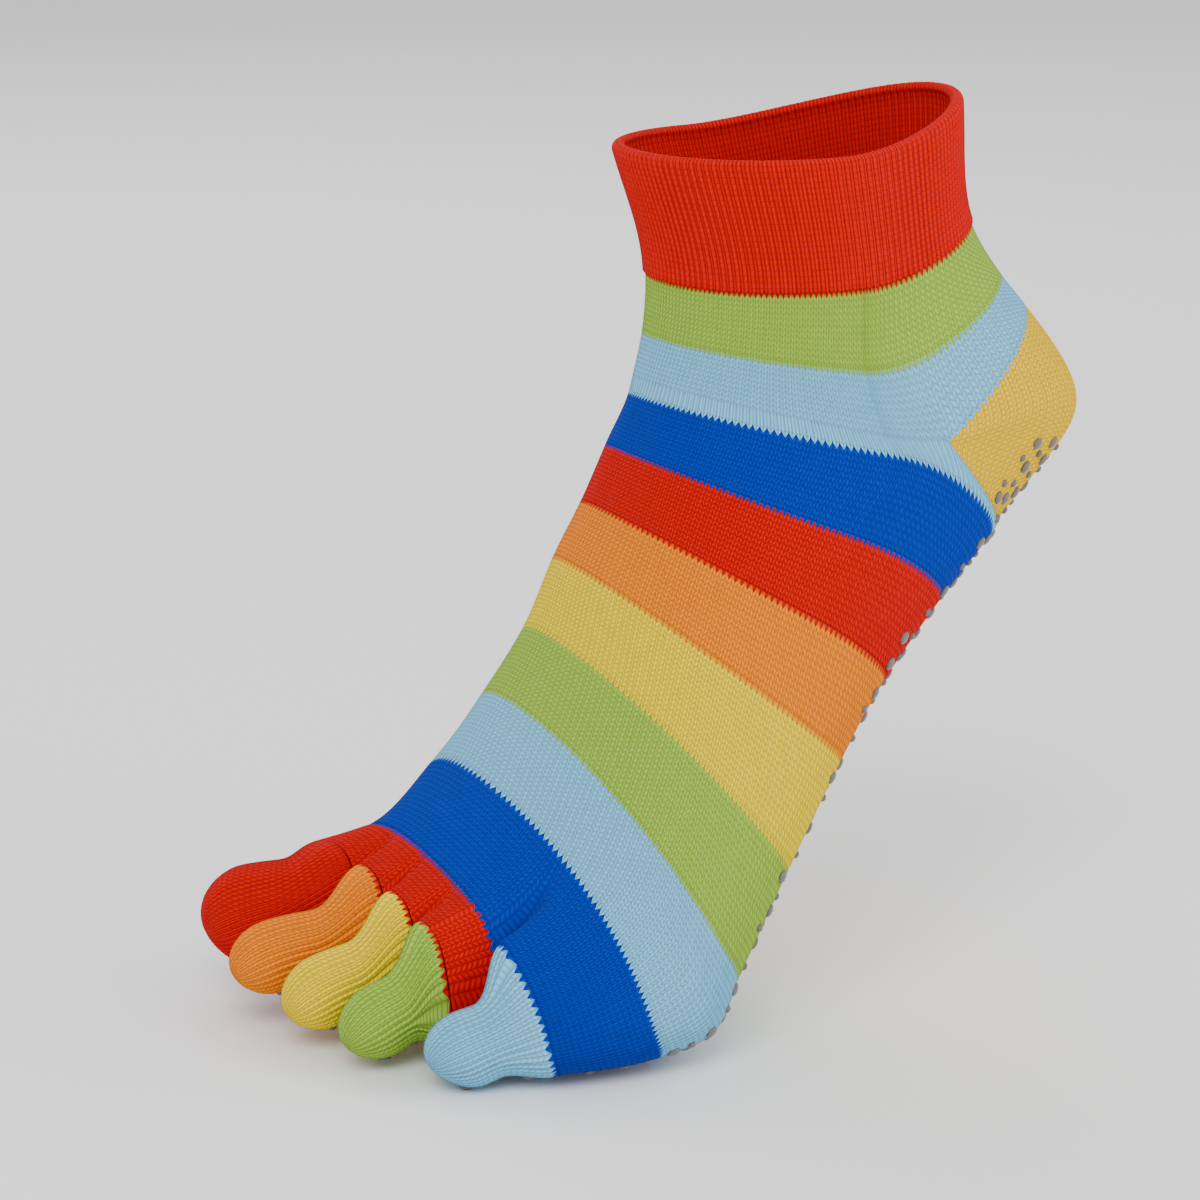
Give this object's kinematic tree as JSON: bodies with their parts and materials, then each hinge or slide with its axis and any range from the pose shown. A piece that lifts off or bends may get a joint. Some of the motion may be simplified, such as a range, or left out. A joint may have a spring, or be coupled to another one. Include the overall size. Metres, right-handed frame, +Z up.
{
  "type": "toe sock",
  "caption": "Striped knitted ankle sock with a separate sheath for each toe, a ribbed cuff and a turned heel pocket, in its worn form with the heel raised",
  "frame": {"origin": "middle of the sock's open mouth", "axes": "+Z up out of the mouth; toes towards -X; little toe towards -Y; heel towards +X"},
  "size_m": [0.1919, 0.1025, 0.1963],
  "materials": {
    "knit_red": "matt knit",
    "knit_orange": "matt knit",
    "knit_yellow": "matt knit",
    "knit_heel_yellow": "matt knit",
    "knit_green": "matt knit",
    "knit_sky": "matt knit",
    "knit_blue": "matt knit",
    "grip_rubber": "satin"
  },
  "bodies": {
    "root": {"cuff": "knit_red", "band_leg_green": "knit_green", "band_ankle_sky": "knit_sky", "heel_pocket": "knit_heel_yellow", "band_instep_blue": "knit_blue", "band_instep_red": "knit_red", "band_arch_orange": "knit_orange", "band_arch_yellow": "knit_yellow", "band_arch_green": "knit_green", "band_ball_sky": "knit_sky", "band_ball_blue": "knit_blue", "toe_base": "knit_red", "toe_big": "knit_red", "toe_second": "knit_orange", "toe_third": "knit_yellow", "toe_fourth": "knit_green", "toe_little": "knit_sky"}
  },
  "joints": []
}
